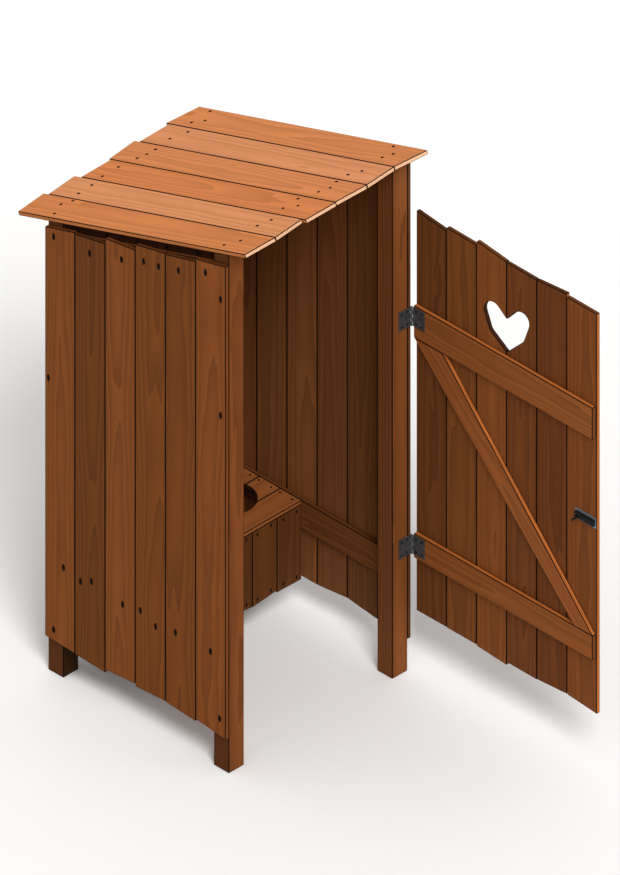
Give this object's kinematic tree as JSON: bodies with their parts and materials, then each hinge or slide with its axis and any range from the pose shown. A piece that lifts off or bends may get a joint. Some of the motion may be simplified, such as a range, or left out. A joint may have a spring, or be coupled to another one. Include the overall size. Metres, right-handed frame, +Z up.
{
  "type": "outhouse",
  "caption": "Wooden outhouse of upright boards on a post frame, with a sloping board roof, a bench with round seat holes and a hinged, ledged and braced door with a heart cut-out.",
  "frame": {"origin": "on the ground, at the middle of the box round the outhouse with its door open at a right angle", "axes": "+Z up, +X to the right seen from the front, +Y from the front to the back"},
  "size_m": [0.9288, 1.9068, 2.2087],
  "materials": {
    "wall_boards": "sawn boards with a brown stain",
    "roof_boards": "sawn boards with a light orange-brown stain",
    "door_boards": "sawn boards with a brown stain",
    "frame_timber": "sawn timber with a brown stain",
    "hinge_steel": "dark grey steel",
    "latch_steel": "blue-grey steel"
  },
  "bodies": {
    "outhouse": {"front_left_post": "frame_timber", "front_right_post": "frame_timber", "back_left_post": "frame_timber", "back_right_post": "frame_timber", "left_wall": "wall_boards", "right_wall": "wall_boards", "back_wall": "wall_boards", "roof": "roof_boards", "front_purlin": "frame_timber", "back_purlin": "frame_timber", "left_top_rail": "frame_timber", "right_top_rail": "frame_timber", "left_rail": "frame_timber", "right_rail": "frame_timber", "back_rail": "frame_timber", "seat_front_board": "frame_timber", "seat_middle_board": "frame_timber", "seat_back_board": "frame_timber", "seat_filler_board": "frame_timber", "left_seat_cleat": "frame_timber", "right_seat_cleat": "frame_timber", "back_seat_cleat": "frame_timber", "seat_batten": "frame_timber", "bench_front": "frame_timber", "bench_top_bearer": "frame_timber", "bench_bottom_bearer": "frame_timber", "upper_hinge_post_leaf": "hinge_steel", "lower_hinge_post_leaf": "hinge_steel"},
    "door": {"door_hinge_boards": "door_boards", "door_heart_boards": "door_boards", "door_latch_boards": "door_boards", "upper_ledge": "frame_timber", "lower_ledge": "frame_timber", "door_brace": "frame_timber", "upper_hinge_door_leaf": "hinge_steel", "lower_hinge_door_leaf": "hinge_steel", "latch_plate": "latch_steel", "latch_case": "latch_steel"},
    "latch": {"latch_bolt": "latch_steel"}
  },
  "joints": [
    {"name": "door_swing", "type": "hinge", "parent": "outhouse", "child": "door", "pos_m": [0.4276, -0.0834, 1], "axis": [0, 0, 1], "range_deg": [-90, 90]},
    {"name": "latch_slide", "type": "slide", "parent": "door", "child": "latch", "axis": [0, 1, 0], "range_m": [0, 0.02]}
  ]
}
